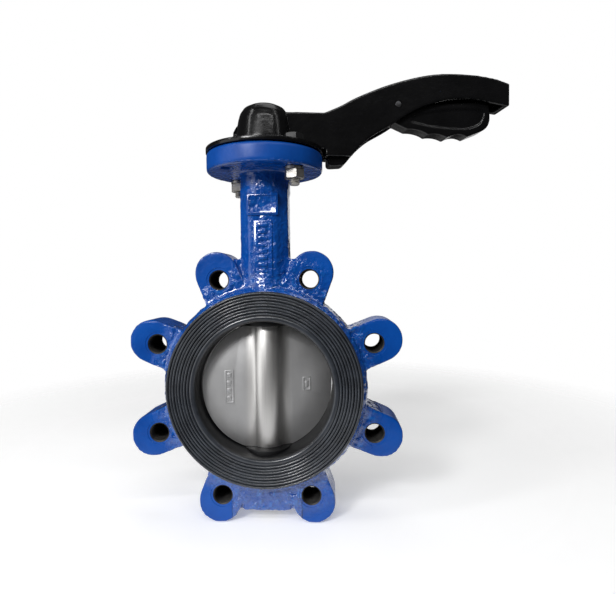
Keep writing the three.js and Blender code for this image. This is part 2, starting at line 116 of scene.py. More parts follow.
def make_studio():
    """A pale floor, a small bright key high on the left, and panels and strips that the glossy paint mirrors.

    The surroundings look white, but light the valve only faintly, so that dark finishes stay dark.
    """
    bpy.context.scene.view_settings.view_transform = "Standard"
    world = bpy.data.worlds.new("studio")
    bpy.context.scene.world = world
    world.use_nodes = True
    tree = world.node_tree
    seen = tree.nodes.new("ShaderNodeLightPath")
    glow = tree.nodes.new("ShaderNodeMapRange")
    glow.inputs["To Min"].default_value = 0.04
    glow.inputs["To Max"].default_value = 1.0
    tree.links.new(seen.outputs["Is Camera Ray"], glow.inputs["Value"])
    tree.links.new(glow.outputs["Result"], tree.nodes["Background"].inputs["Strength"])
    tree.nodes["Background"].inputs["Color"].default_value = (1, 1, 1, 1)
    softbox("key", (-0.55, -1.05, 0.65), (0, 0, 0.05), 0.26, 0.26, 8)
    softbox("middle_strip", (-0.3, -1.1, 0.72), (0, 0, 0.02), 0.45, 0.07, 2.6)
    softbox("front_strip", (0.15, -0.8, 0.95), (0, 0, 0), 1.1, 0.06, 4)
    softbox("left_strip", (-0.85, -0.45, 0.85), (0, 0, 0), 0.06, 0.8, 2)
    softbox("left_wall", (-1.0, -0.55, 0.1), (0, 0, 0.05), 0.9, 0.9, 3.6)
    softbox("right_strip", (0.8, -0.35, 0.95), (0, 0, 0.05), 0.06, 0.6, 0.6)
    softbox("overhead", (0.1, 0.15, 1.1), (0, 0, 0.1), 0.9, 0.5, 2.6)
    softbox("back", (0.3, 1.2, 0.5), (0, 0, 0.05), 0.9, 0.6, 1.5)
    deselect()
    bpy.ops.mesh.primitive_circle_add(vertices=96, radius=1.0, fill_type="NGON",
                                      location=(0, 0.2, cad_low.z - 0.0004))
    floor = bpy.context.object
    floor.name = "floor"
    paper = Finish("white_paper")
    grain = paper.noise(paper.place(), 40, 2)
    tone = paper.blend_colours(grain, (0.90, 0.90, 0.90), (0.93, 0.93, 0.93))
    away = paper.node("ShaderNodeVectorMath", {"operation": "LENGTH"}, {0: paper.place()}, 1)
    paper.surface({"Base Color": tone, "Alpha": 1 - paper.steps(away, 0.25, 0.55), "Roughness": 0.9,
                   "Specular IOR Level": 0.1, "Emission Color": (1, 1, 1), "Emission Strength": 0.3})
    floor.data.materials.append(paper.material)


# ---- Finishes -------------------------------------------------------------------------------------


class Wire:
    """A value or colour on its way from one node to the next. Sums and products add Math nodes."""

    def __init__(self, finish, socket):
        self.finish, self.socket = finish, socket

    def maths(self, operation, first, second):
        return self.finish.node("ShaderNodeMath", {"operation": operation}, {0: first, 1: second})

    def __add__(self, other):
        return self.maths("ADD", self, other)

    def __radd__(self, other):
        return self.maths("ADD", other, self)

    def __sub__(self, other):
        return self.maths("SUBTRACT", self, other)

    def __rsub__(self, other):
        return self.maths("SUBTRACT", other, self)

    def __mul__(self, other):
        return self.maths("MULTIPLY", self, other)

    def __rmul__(self, other):
        return self.maths("MULTIPLY", other, self)


class Finish:
    """A material that is built node by node."""

    def __init__(self, name):
        self.material = bpy.data.materials.new(name)
        self.material.use_nodes = True
        self.tree = self.material.node_tree
        self.shader = self.tree.nodes["Principled BSDF"]

    def put(self, socket, value):
        if isinstance(value, Wire):
            self.tree.links.new(value.socket, socket)
        elif isinstance(value, tuple) and len(value) == 3 and socket.type == "RGBA":
            socket.default_value = (*value, 1)
        else:
            socket.default_value = value

    def node(self, kind, settings=None, inputs=None, output=0):
        made = self.tree.nodes.new(kind)
        for name, value in (settings or {}).items():
            if name == "stops":
                for element, (position, shade) in zip(made.color_ramp.elements, value):
                    element.position, element.color = position, (shade, shade, shade, 1)
            else:
                setattr(made, name, value)
        for name, value in (inputs or {}).items():
            self.put(made.inputs[name], value)
        return Wire(self, made.outputs[output])

    def place(self):
        return self.node("ShaderNodeTexCoord", output="Object")

    def stretched(self, scale):
        return self.node("ShaderNodeMapping", None, {"Vector": self.place(), "Scale": scale})

    def part_of(self, place, axis):
        return self.node("ShaderNodeSeparateXYZ", None, {0: place}, "XYZ"[axis])

    def noise(self, place, scale, detail=2.0, rough=0.5, warp=0.0):
        inputs = {"Vector": place, "Scale": scale, "Detail": detail, "Roughness": rough, "Distortion": warp}
        return self.node("ShaderNodeTexNoise", None, inputs)

    def painted(self, name):
        """A value that the mesh carries at each vertex."""
        return self.node("ShaderNodeAttribute", {"attribute_name": name}, None, "Fac")

    def steps(self, value, low, high):
        """Nought below low, one above high, and a smooth rise between."""
        return self.node("ShaderNodeValToRGB", {"stops": ((low, 0), (high, 1))}, {"Fac": value})

    def blend_colours(self, share, first, second):
        inputs = {0: share, 6: first, 7: second}
        return self.node("ShaderNodeMix", {"data_type": "RGBA"}, inputs, 2)

    def bump(self, height, depth, strength=1.0, under=None):
        inputs = {"Height": height, "Distance": depth * MM, "Strength": strength}
        if under is not None:
            inputs["Normal"] = under
        return self.node("ShaderNodeBump", None, inputs)

    def surface(self, inputs):
        for name, value in inputs.items():
            self.put(self.shader.inputs[name], value)
        return self.material


def blue_epoxy():
    """A thick, wet-looking coat that pools and wrinkles over the rough casting, with a painted highlight on
    its wrinkle crests.
    """
    coat = Finish("blue_epoxy")
    place = coat.place()
    rough = coat.painted("casting_roughness")
    wrinkle = coat.noise(place, 340, 1, 0.5, 0.5)
    peel = coat.noise(place, 1500, 1)
    cloud = coat.noise(place, 45, 3)
    pool = coat.noise(place, 180, 1, 0.5, 0.3)
    relief = pool * 1.5 + wrinkle * 0.6
    skin = coat.bump(relief * (rough * 0.98 + 0.02), 2.2, 1.0)
    skin = coat.bump(peel, 0.03, 0.5, skin)
    shade = coat.blend_colours(coat.steps(cloud, 0.3, 0.7), (0.001, 0.052, 0.285), (0.0018, 0.074, 0.375))
    # Painted highlight: a lighter blue on the wrinkle crests of the rough casting stands in for the glints of
    # the wet coat.
    painted_crest_highlight = coat.steps(wrinkle, 0.54, 0.70) * rough
    shade = coat.blend_colours(painted_crest_highlight * 0.45, shade, (0.012, 0.170, 0.560))
    return coat.surface({
        "Base Color": shade,
        "Roughness": 0.22 + 0.06 * cloud - 0.1 * rough + 0.13 * (1 - coat.steps(rough, 0.02, 0.1)),
        "Normal": skin,
        "Coat Weight": 0.95 * rough,
        "Coat Roughness": 0.06,
        "Coat IOR": 1.8,
        "Specular IOR Level": 0.3,
    })


def black_epoxy():
    """Semi-gloss black over a smooth casting, with a faint haze and fine scratches."""
    coat = Finish("black_epoxy")
    place = coat.place()
    haze = coat.noise(place, 55, 3)
    peel = coat.noise(place, 1300, 2)
    wave = coat.noise(place, 210, 2)
    scratch = coat.noise(coat.stretched((260, 2600, 2600)), 1, 2)
    marks = coat.steps(scratch, 0.68, 0.76)
    skin = coat.bump(wave, 0.35, 0.5)
    skin = coat.bump(peel, 0.03, 0.6, skin)
    shade = coat.blend_colours(haze, (0.0018, 0.0018, 0.002), (0.0045, 0.0045, 0.005))
    shade = coat.blend_colours(marks * 0.25, shade, (0.02, 0.02, 0.022))
    return coat.surface({
        "Base Color": shade,
        "Roughness": 0.18 + 0.12 * haze + 0.1 * marks,
        "Normal": skin,
        "Coat Weight": 0.15,
        "Coat Roughness": 0.1,
        "Specular IOR Level": 0.25,
    })


def seat_rubber():
    """Moulded black rubber: a dull sheen with a greyish bloom on the face, and painted shade in the bore."""
    rubber = Finish("seat_rubber")
    place = rubber.place()
    bloom = rubber.noise(place, 70, 4, 0.6)
    grain = rubber.noise(place, 2600, 2)
    flow = rubber.noise(place, 240, 2)
    skin = rubber.bump(flow, 0.02, 0.5)
    skin = rubber.bump(grain, 0.01, 0.5, skin)
    face_not_shaded_bore = rubber.painted("face_not_shaded_bore")
    shade = rubber.blend_colours(rubber.steps(bloom, 0.35, 0.7), (0.022, 0.025, 0.031), (0.042, 0.048, 0.059))
    # Painted shade: the bore gets a near-black colour for the shade it sits in. The face's lighter grey is
    # the rubber's bloom, raised in part as painted sheen on the ridges.
    shade = rubber.blend_colours(face_not_shaded_bore, (0.003, 0.0032, 0.004), shade)
    return rubber.surface({
        "Base Color": shade,
        "Roughness": 0.42 - 0.25 * face_not_shaded_bore + 0.14 * bloom,
        "Normal": skin,
        "Coat Weight": 0.6 * face_not_shaded_bore,
        "Coat Roughness": 0.16,
        "Specular IOR Level": 0.35,
    })


def seal_rubber():
    """O-rings and the gasket: plain black rubber."""
    rubber = Finish("seal_rubber")
    bloom = rubber.noise(rubber.place(), 300, 3)
    shade = rubber.blend_colours(bloom, (0.010, 0.010, 0.011), (0.022, 0.022, 0.023))
    skin = rubber.bump(rubber.noise(rubber.place(), 2500, 2), 0.03, 0.4)
    return rubber.surface({"Base Color": shade, "Roughness": 0.45 + 0.15 * bloom, "Normal": skin})


def disc_steel():
    """Cast stainless: blasted wings, and a boss brushed along its length."""
    steel = Finish("disc_steel")
    place = steel.place()
    brushed = steel.painted("brushed")
    streak = steel.noise(steel.stretched((1500, 1500, 22)), 1, 3, 0.6)
    band = steel.noise(steel.stretched((300, 300, 9)), 1, 2)
    blast = steel.noise(place, 1700, 3, 0.6)
    stain = steel.noise(place, 48, 4, 0.6)
    tone = steel.blend_colours(stain, (0.50, 0.50, 0.51), (0.66, 0.66, 0.66))
    lines = steel.blend_colours(streak * 0.6 + band * 0.4, (0.58, 0.57, 0.56), (0.94, 0.93, 0.91))
    tone = steel.blend_colours(brushed, tone, lines)
    skin = steel.bump(blast * (1 - brushed), 0.07, 0.5)
    skin = steel.bump(streak * brushed, 0.05, 0.5, skin)
    dull = 0.52 + 0.1 * stain - 0.05 * blast
    bright = 0.33 + 0.18 * streak
    return steel.surface({
        "Base Color": tone,
        "Metallic": 1.0,
        "Roughness": dull * (1 - brushed) + bright * brushed,
        "Normal": skin,
    })


def turned_steel(name, dark, light, roughness):
    """Plain or plated steel with a fine turned grain and a little staining."""
    steel = Finish(name)
    place = steel.place()
    grain = steel.noise(steel.stretched((500, 500, 2600)), 1, 2)
    stain = steel.noise(place, 260, 3)
    skin = steel.bump(grain, 0.03, 0.5, steel.bump(stain, 0.4, 0.6))
    return steel.surface({
        "Base Color": steel.blend_colours(stain, dark, light),
        "Metallic": 1.0,
        "Roughness": roughness + 0.16 * stain + 0.06 * grain,
        "Normal": skin,
    })


def bolt_steel():
    """Zinc-plated steel, painted over above the lever plate."""
    steel = Finish("bolt_steel")
    place = steel.place()
    low, high = (PLATE_TOP - 0.2) * MM, (PLATE_TOP + 0.2) * MM
    painted = steel.steps(steel.part_of(place, 2) * 4, 4 * low, 4 * high)
    grain = steel.noise(steel.stretched((500, 500, 2600)), 1, 2)
    stain = steel.noise(place, 260, 3)
    zinc = steel.blend_colours(stain, (0.36, 0.35, 0.32), (0.60, 0.58, 0.54))
    return steel.surface({
        "Base Color": steel.blend_colours(painted, zinc, (0.004, 0.004, 0.0045)),
        "Metallic": 1 - painted,
        "Roughness": 0.38 + 0.16 * stain + 0.06 * grain,
        "Normal": steel.bump(grain, 0.03, 0.5, steel.bump(stain, 0.4, 0.6)),
    })


def bare_iron():
    """The tapped holes: cut iron, oiled and dark."""
    iron = Finish("bare_iron")
    place = iron.place()
    oil = iron.noise(place, 300, 3)
    skin = iron.bump(iron.noise(place, 1800, 2), 0.05, 0.5)
    shade = iron.blend_colours(oil, (0.012, 0.012, 0.013), (0.06, 0.057, 0.053))
    return iron.surface({
        "Base Color": shade,
        "Metallic": 0.8,
        "Roughness": 0.35 + 0.25 * oil,
        "Normal": skin,
    })


def bearing_polymer():
    """Pale bearing bushes with a fine fleck."""
    bush = Finish("bearing_polymer")
    fleck = bush.noise(bush.place(), 900, 3)
    shade = bush.blend_colours(fleck, (0.62, 0.60, 0.54), (0.75, 0.73, 0.68))
    skin = bush.bump(fleck, 0.02, 0.4)
    return bush.surface({"Base Color": shade, "Roughness": 0.5 + 0.1 * fleck, "Normal": skin})


# ---- Shaping tools --------------------------------------------------------------------------------


def deselect():
    if bpy.context.mode != "OBJECT":
        bpy.ops.object.mode_set(mode="OBJECT")
    bpy.ops.object.select_all(action="DESELECT")


def pick(*pieces):
    """Selects only these pieces, with the first one active."""
    deselect()
    for piece in pieces:
        piece.select_set(True)
    bpy.context.view_layer.objects.active = pieces[0]
    return pieces[0]


def edit(piece):
    """Opens a piece for editing, with all of it selected."""
    pick(piece)
    bpy.ops.object.mode_set(mode="EDIT")
    bpy.ops.mesh.select_mode(type="VERT")
    bpy.ops.mesh.select_all(action="SELECT")


def done():
    bpy.ops.object.mode_set(mode="OBJECT")


def settle(piece):
    """Puts a piece's place into its mesh, so that its object sits at the origin, unturned."""
    pick(piece)
    bpy.ops.object.transform_apply(location=True, rotation=True, scale=True)
    return piece


def modify(piece, kind, **settings):
    pick(piece)
    modifier = piece.modifiers.new(kind.lower(), kind)
    for name, value in settings.items():
        setattr(modifier, name, value)
    bpy.ops.object.modifier_apply(modifier=modifier.name)
    return piece


def drawn(name, corners, closed=True):
    """A line of edges, drawn corner by corner by extruding one vertex. Corners are in metres."""
    deselect()
    bpy.ops.mesh.primitive_plane_add(size=MM)
    line = bpy.context.object
    line.name = name
    edit(line)
    bpy.ops.mesh.merge(type="CENTER")
    bpy.ops.transform.translate(value=corners[0])
    path = [*corners, corners[0]] if closed else corners
    for here, there in zip(path, path[1:]):
        bpy.ops.mesh.extrude_vertices_move(TRANSFORM_OT_translate={"value": there - here})
    if closed:
        bpy.ops.mesh.select_all(action="SELECT")
        bpy.ops.mesh.remove_doubles(threshold=1e-6)
    done()
    return line


def slab(name, corners, depth):
    """A flat outline, filled and pulled out by the vector depth."""
    sheet = drawn(name, corners)
    edit(sheet)
    bpy.ops.mesh.edge_face_add()
    bpy.ops.mesh.extrude_region_move(TRANSFORM_OT_translate={"value": depth})
    bpy.ops.mesh.select_all(action="SELECT")
    bpy.ops.mesh.normals_make_consistent(inside=False)
    done()
    return sheet


def turned(name, profile, axis, facets=96, closed=True):
    """A profile of (radius, height) in millimetres, turned about an axis through the origin."""
    corners = [(ACROSS * radius + axis * height) * MM for radius, height in profile]
    piece = drawn(name, corners, closed)
    edit(piece)
    bpy.ops.mesh.spin(steps=facets, angle=FULL_TURN, center=(0, 0, 0), axis=axis)
    bpy.ops.mesh.select_all(action="SELECT")
    bpy.ops.mesh.remove_doubles(threshold=1e-6)
    bpy.ops.mesh.normals_make_consistent(inside=False)
    done()
    return piece


def shift(piece, x=0.0, y=0.0, z=0.0, turn=0.0, about=UP):
    """Turns a piece about an axis through the origin, after moving it by millimetres."""
    piece.matrix_world = Matrix.Rotation(turn, 4, about) @ Matrix.Translation(Vector((x, y, z)) * MM)
    return settle(piece)


def block(name, low, high):
    """A box between two corners in millimetres."""
    deselect()
    low, high = Vector(low), Vector(high)
    bpy.ops.mesh.primitive_cube_add(size=1, location=(low + high) / 2 * MM)
    piece = bpy.context.object
    piece.name = name
    piece.scale = (high - low) * MM
    return settle(piece)


def rod(name, radius, low, high, facets=48):
    """An upright cylinder on the Z axis."""
    deselect()
    middle, height = (low + high) / 2 * MM, (high - low) * MM
    bpy.ops.mesh.primitive_cylinder_add(vertices=facets, radius=radius * MM, depth=height,
                                        location=(0, 0, middle))
    piece = bpy.context.object
    piece.name = name
    return settle(piece)


def join(*pieces):
    """Makes one piece of several, under the first one's name."""
    pick(*pieces)
    bpy.ops.object.join()
    return pieces[0]


def boolean(piece, operation, tool):
    """Joins, cuts or trims a piece with a tool, which is used up. Cut faces keep the tool's finish."""
    modify(piece, "BOOLEAN", operation=operation, solver="EXACT", object=tool, material_mode="TRANSFER")
    bpy.data.objects.remove(tool)
    return piece


def cut(piece, *tools):
    return boolean(piece, "DIFFERENCE", join(*tools))


def cast(piece, grain, rounds):
    """Melts overlapping solids into one skin with soft inner and outer corners."""
    modify(piece, "REMESH", mode="VOXEL", voxel_size=grain * MM, use_smooth_shade=True)
    return modify(piece, "SMOOTH", factor=0.5, iterations=rounds)


def thin_out(piece, share):
    """Keeps only this share of a piece's faces."""
    return modify(piece, "DECIMATE", ratio=share)


def soften(piece, width, segments=2, angle=35):
    """Rounds a piece's sharp edges."""
    return modify(piece, "BEVEL", width=width * MM, segments=segments, limit_method="ANGLE",
                  angle_limit=math.radians(angle))


def arc(x, y, radius, start, end, steps):
    """Points on an arc, in degrees, ends included."""
    turns = [math.radians(start + (end - start) * i / steps) for i in range(steps + 1)]
    return [(x + radius * math.cos(t), y + radius * math.sin(t)) for t in turns]


def bow(start, control, end, steps=6):
    """Points on a curve that starts at start, is pulled towards control and ends at end."""
    def at(t):
        pull = 2 * t * (1 - t)
        return tuple((1 - t) ** 2 * a + pull * b + t * t * c for a, b, c in zip(start, control, end))

    return [at(i / steps) for i in range(1, steps + 1)]


def flowing(points, steps=5):
    """Points on a smooth line through the given points."""
    padded = [points[0], *points, points[-1]]
    line = []
    for a, b, c, d in zip(padded, padded[1:], padded[2:], padded[3:]):
        for i in range(steps):
            t = i / steps
            line.append(tuple(
                0.5 * (2 * q + (r - p) * t + (2 * p - 5 * q + 4 * r - s) * t * t
                       + (3 * q - p - 3 * r + s) * t ** 3)
                for p, q, r, s in zip(a, b, c, d)
            ))
    return [*line, points[-1]]


def side_view(points, y):
    """Points drawn in X and Z, as corners at one depth."""
    return [Vector((x, y, z)) * MM for x, z in points]


def plan_view(points, z):
    """Points drawn in X and Y, as corners at one height."""
    return [Vector((x, y, z)) * MM for x, y in points]


def clean(piece):
    """Welds doubled corners and takes out faces with no area, which booleans leave behind."""
    edit(piece)
    bpy.ops.mesh.remove_doubles(threshold=0.005 * MM)
    bpy.ops.mesh.dissolve_degenerate(threshold=0.005 * MM)
    done()
    return piece


def paint(piece, name, value_at):
    """Gives each vertex a value that a finish can read."""
    layer = piece.data.attributes.new(name, "FLOAT", "POINT")
    layer.data.foreach_set("value", [value_at(v.co / MM) for v in piece.data.vertices])


def complete(piece, finish, body, slot, *nodes, angle=35):
    """Shades and paints a finished piece, and lets it ride on its body in place of its CAD nodes."""
    pick(clean(piece))
    bpy.ops.object.shade_smooth_by_angle(angle=math.radians(angle))
    if not piece.data.materials:
        piece.data.materials.append(finish)
    else:
        piece.data.materials[0] = finish
    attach(piece, body)
    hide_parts(*nodes)
    return piece


def smooth_rise(value, low, high):
    t = min(1.0, max(0.0, (value - low) / (high - low)))
    return t * t * (3 - 2 * t)


# ---- Lug body -------------------------------------------------------------------------------------

LUG_CIRCLE = 90.0
LUG_FACE = 16.0
lug_angles = [math.radians(22.5 + 45 * i) for i in range(8)]


def lug(angle):
    """One rounded lug, drawn on the X axis and turned to its place round the bore."""
    outline = [(66, -17.2), *arc(95.5, 0, 16.5, -90, 90, 20), (66, 17.2)]
    piece = slab("lug", side_view(outline, -LUG_FACE), ALONG * 2 * LUG_FACE * MM)
    return shift(piece, turn=-angle, about=ALONG)


def neck():
    """An eight-sided shank with a flared root and a round collar under the flange."""
    outline = [
        (10.5, -17.5), (18.5, -9.5), (18.5, 9.5), (10.5, 17.5),
        (-10.5, 17.5), (-18.5, 9.5), (-18.5, -9.5), (-10.5, -17.5),
    ]
    shank = slab("neck", plan_view(outline, 66), UP * 86 * MM)
    collar = turned("collar", [(0, 143), (17.6, 143), (19.6, 150), (19.6, 167), (0, 167)], UP, 48, False)
    root = turned("root", [(0, 66), (25, 66), (21, 80), (17.5, 96), (0, 96)], UP, 48, False)
    return [shank, collar, root]


def neck_marks():
    """Plain raised shapes, front and back: a framed field above a strip with a column of bars."""
    def plate(side, half, bottom, top, inner, outer, round_off):
        low, high = sorted((side * inner, side * outer))
        return soften(block("mark", (-half, low, bottom), (half, high, top)), round_off, 2)

    bases, bars = [], []
    for side in (-1, 1):
        field = plate(side, 12, 131.5, 148, 12, 18.9, 1.0)
        cut(field, plate(side, 10.2, 133.3, 146.2, 18.2, 22, 0.5))
        bases += [field, plate(side, 7.2, 84, 128, 12, 18.9, 0.9)]
        bars += [plate(side, 3.4, 88.5 + 4.9 * i, 91.2 + 4.9 * i, 14, 19.8, 0.35) for i in range(8)]
    return join(*bases), join(*bars)


def foot():
    """The bottom boss: its front and back faces flare towards the bottom, with sloping sides."""
    layers = []
    for depth, top, bottom in ((10.5, 19, 22.2), (13.2, 16.5, 20.4), (15.8, 14, 18.4)):
        outline = [(-top, -66), (-bottom, -95.5), (bottom, -95.5), (top, -66)]
        layers.append(slab("foot", side_view(outline, -depth), ALONG * 2 * depth * MM))
    return layers


def top_flange():
    low, high = FLANGE_BOTTOM, FLANGE_TOP
    profile = [(0, low), (43.6, low), (44.6, low + 0.6), (45, low + 1.8),
               (45, high - 1.6), (43.6, high), (0, high)]
    return turned("flange", profile, UP, 144, False)


def thread(minor, major, low, high, pitch):
    """The profile of a tapped wall from low to high, as a saw edge."""
    teeth, height = [], low
    while height + pitch <= high:
        teeth += [(minor, height), (major, height + pitch / 2)]
        height += pitch
    return [*teeth, (minor, high)]


def lug_hole(angle, dark):
    """A tapped hole, oily inside, with a shallow painted ring turned round it in each face."""
    mouth = [(0, -19), (9.8, -19), (9.8, -16.3), (9.3, -15.65), (7.8, -15.65), (7.3, -15.2)]
    profile = [*mouth, *thread(6.9, 7.7, -15.0, 15.0, 1.85), *[(r, -h) for r, h in reversed(mouth)]]
    hole = turned("hole", profile, ALONG, 40, False)
    hole.data.materials.append(dark)
    hole.data.materials.append(PAINT["blue"])
    for face in hole.data.polygons:
        if math.hypot(face.center.x, face.center.z) > 8 * MM:
            face.material_index = 1
    return shift(hole, x=LUG_CIRCLE, turn=-angle, about=ALONG)


def flange_hole(turn):
    low, high = FLANGE_BOTTOM, FLANGE_TOP
    profile = [(0, low - 1), (5.6, low - 1), (4.6, low + 0.6), (4.6, high + 1), (0, high + 1)]
    return shift(turned("bolt_hole", profile, UP, 32, False), x=BOLT_CIRCLE, turn=math.radians(turn))


def stem_bores():
    top = [(0, 55), (11.2, 55), (11.2, 143.5), (12.8, 143.5), (12.8, 176), (14.3, 176), (14.3, 177.8),
           (12.8, 177.8), (12.8, 182), (0, 182)]
    foot_bore = [(0, -55), (11.2, -55), (11.2, -88), (13.4, -88), (13.4, -97), (0, -97)]
    return [turned("stem_bore", top, UP, 48, False), turned("foot_bore", foot_bore, UP, 48, False)]


def casting_roughness(p):
    """How rough the casting is under its paint: machined flange, smooth lugs, rough neck and foot."""
    if p.z > FLANGE_TOP - 13.5:
        return 0.0
    if p.z > FLANGE_TOP - 15:
        return 0.22
    around = math.hypot(p.x, p.z)
    angle = math.degrees(math.atan2(p.z, p.x))
    if abs(p.x) < 24 and p.z > 60:
        side_face = smooth_rise(abs(p.x), 8, 12) * smooth_rise(p.z, 84, 96)
        return (0.3 + 0.4 * smooth_rise(162 - p.z, 0, 14)) * (1 - 0.5 * side_face)
    if abs(p.x) < 27 and p.z < -60:
        return 1.0
    near_ring = 1 - smooth_rise(around, 82, 92)
    rough_lug = max(0.0, 1 - abs(angle - 67.5) / 20) + max(0.0, 1 - abs(angle + 67.5) / 20)
    edge = smooth_rise(around, 98, 106)
    return min(1.0, 0.07 + 0.9 * near_ring + 0.5 * rough_lug * (1 - edge))


def make_lug_body():
    ring = turned("lug_casting", [
        (60.3, -23), (74.5, -23), (76.4, -20.5), (78, -16), (78, 16), (76.4, 20.5), (74.5, 23), (60.3, 23),
    ], ALONG, 160)
    web = block("web", (-33, -11, 64), (33, 11, 99))
    solids = [ring, *map(lug, lug_angles), *neck(), *foot(), top_flange(), web]
    body = cast(join(*solids), 1.0, 6)
    body.data.materials.append(PAINT["blue"])
    skin = bpy.data.textures.new("casting_skin", "CLOUDS")
    skin.noise_scale, skin.noise_depth = 0.0042, 1
    weights = body.vertex_groups.new(name="rough")
    levels = {}
    for vertex in body.data.vertices:
        levels.setdefault(round(casting_roughness(vertex.co / MM), 1), []).append(vertex.index)
    for level, vertices in levels.items():
        weights.add(vertices, level, "REPLACE")
    modify(body, "DISPLACE", texture=skin, strength=0.0015, mid_level=0.5, vertex_group="rough")
    thin_out(body, 0.42)
    for marks in neck_marks():
        boolean(body, "UNION", marks)
    dark = bare_iron()
    for angle in lug_angles:
        cut(body, lug_hole(angle, dark))
    bores = [*map(flange_hole, (45, 135, 225, 315)), *stem_bores()]
    for bore in bores:
        bore.data.materials.append(PAINT["blue"])
    cut(body, *bores)
    paint(body, "casting_roughness", casting_roughness)
    return complete(body, PAINT["blue"], "valve_body", "blue_epoxy", "lug_body")


# ---- Rubber liner ---------------------------------------------------------------------------------


def ridges(first, last, count, face):
    """Rounded ridges side by side, with deep grooves and shallow ones by turns between them."""
    pitch = (last - first) / count
    outline = []
    for i in range(count):
        before, after = (1.2 if k % 2 == 0 else 2.3 for k in (i, i + 1))
        for step in range(8):
            share = step / 8
            sink = before + (after - before) * share
            swell = math.sqrt(1 - (2 * share - 1) ** 2)
            outline.append((first + pitch * (i + share), face - sink * (1 - swell)))
    return outline


def liner_half():
    """The liner's outline from the middle of the bore to the ridged face and round to the back."""
    face = LINER_FACE
    lip = [(51.3, 0), (51.3, 17), (51.5, 21), (52.0, 24), (52.7, 25.6), (53.5, 26.2), (54.5, face - 0.2),
           (55.6, face - 0.2)]
    rim = [(74.3, face - 0.9), (LINER_RADIUS, face - 1.4), (LINER_RADIUS, 23.3),
           (60.0, 23.3), (60.0, 6), (64, 6)]
    return [*lip, *ridges(56.6, 74.2, 8, face), *rim]


def make_liner():
    half = liner_half()
    other = [(r, -h) for r, h in half[:0:-1]]
    liner = turned("rubber_liner", [*half, *other], ALONG, 216)
    for side in (1, -1):
        pad = rod("pad", 19.3, *sorted((side * 47.5, side * 57)), 64)
        boolean(liner, "UNION", soften(pad, 0.8, 3))
    nicks = [block("nick", (-0.5, -27.5, side * 74 - 1.2), (0.5, -25.9, side * 74 + 1.2)) for side in (1, -1)]
    cut(liner, rod("stem_hole", 8.3, -70, 70, 48), *nicks)
    # One on the ridged faces and nought in the bore, which the finish paints darker as painted shade.
    paint(liner, "face_not_shaded_bore", lambda p: smooth_rise(abs(p.y), 24.5, 26))
    return complete(liner, PAINT["rubber"], "valve_body", "seat_rubber", "seat_liner", angle=50)


# ---- Disc -----------------------------------------------------------------------------------------


def disc_section():
    """A quarter of the disc's section: round boss, hollow fillet, then a tapering wing."""
    boss = arc(0, 0, 12.7, 90, 39, 16)
    fillet = bow(boss[-1], (12.6, 5.6), (18.5, 5.25), 8)
    return [*boss, *fillet, (52, 3.2)]


def disc_marks():
    """Plain raised shapes on the wings: a frame round four studs, and a small frame round one."""
    def raised(low_x, high_x, half, inner, outer):
        return soften(block("mark", (low_x, -outer, -half), (high_x, -inner, half)), 0.15, 2)

    left = raised(-33.5, -26.5, 13, 5, 6.9)
    cut(left, raised(-32.7, -27.3, 12.2, 6.45, 8))
    studs = [raised(-31.6, -28.4, 1.8, 5, 6.85) for _ in range(4)]
    studs = [shift(stud, z=-9 + 6 * i) for i, stud in enumerate(studs)]
    right = raised(27, 33.5, 5.5, 5, 6.9)
    cut(right, raised(27.8, 32.7, 4.7, 6.45, 8))
    lean = math.radians(3.5)
    return [*[shift(mark, turn=-lean) for mark in (left, *studs)], shift(right, turn=lean),
            shift(raised(28.9, 31.6, 2.4, 5, 6.85), turn=lean)]


def make_disc():
    quarter = disc_section()
    half = [*quarter, *[(x, -y) for x, y in reversed(quarter)]]
    outline = [*half, *[(-x, -y) for x, y in half[1:-1]]]
    disc = slab("valve_disc", plan_view(outline, -DISC_FLAT), UP * 2 * DISC_FLAT * MM)
    rim = [(math.sqrt(51 ** 2 - y * y), y) for y in range(-15, 16)]
    ball = turned("ball", [(0, -15), *rim, (0, 15)], ALONG, 192, False)
    boolean(disc, "INTERSECT", ball)
    soften(disc, 0.35, 2, 50)
    for mark in disc_marks():
        boolean(disc, "UNION", mark)
    cut(disc, block("socket", (-5.8, -5.8, 18), (5.8, 5.8, 60)), rod("stem_hole", 8.2, -60, -20, 48))
    shift(disc, turn=OPEN_ANGLE)

    def brushed(p):
        across = p.x * math.cos(OPEN_ANGLE) + p.y * math.sin(OPEN_ANGLE)
        return 1 - smooth_rise(abs(across), 12, 20)

    paint(disc, "brushed", brushed)
    return complete(disc, PAINT["disc"], "stem_set", "stainless", "disc", angle=40)


# ---- Notch plate and fasteners --------------------------------------------------------------------


def make_notch_plate():
    plate = rod("lever_plate", PLATE_RADIUS, PLATE_BOTTOM, PLATE_TOP, 192)
    low, high = PLATE_BOTTOM - 1, PLATE_TOP + 1
    notches = []
    for i in range(10):
        notch = block("notch", (PLATE_RADIUS - 3.7, -2.4, low), (PLATE_RADIUS + 3, 2.4, high))
        notches.append(shift(notch, turn=math.radians(10 * i)))
    holes = [rod("hole", 9.6, low, high, 48)]
    for turn in (REAR_BOLT, FRONT_BOLT):
        holes.append(shift(rod("hole", 4.5, low, high, 32), x=BOLT_CIRCLE, turn=math.radians(turn)))
    cut(plate, *notches, *holes)
    soften(plate, 0.35, 2)
    return complete(plate, PAINT["black"], "valve_body", "black_epoxy", "notch_plate")


def hexagon_block(name, across_flats, low, high):
    """A hexagon whose corners are turned off at both ends."""
    corner = across_flats / math.sqrt(3)
    piece = rod(name, corner, low, high, 6)
    drop = (corner - across_flats / 2) * 0.55
    dome = turned("dome", [
        (0, low), (across_flats / 2, low), (corner + 0.2, low + drop), (corner + 0.2, high - drop),
        (across_flats / 2, high), (0, high),
    ], UP, 48, False)
    return boolean(piece, "INTERSECT", dome)


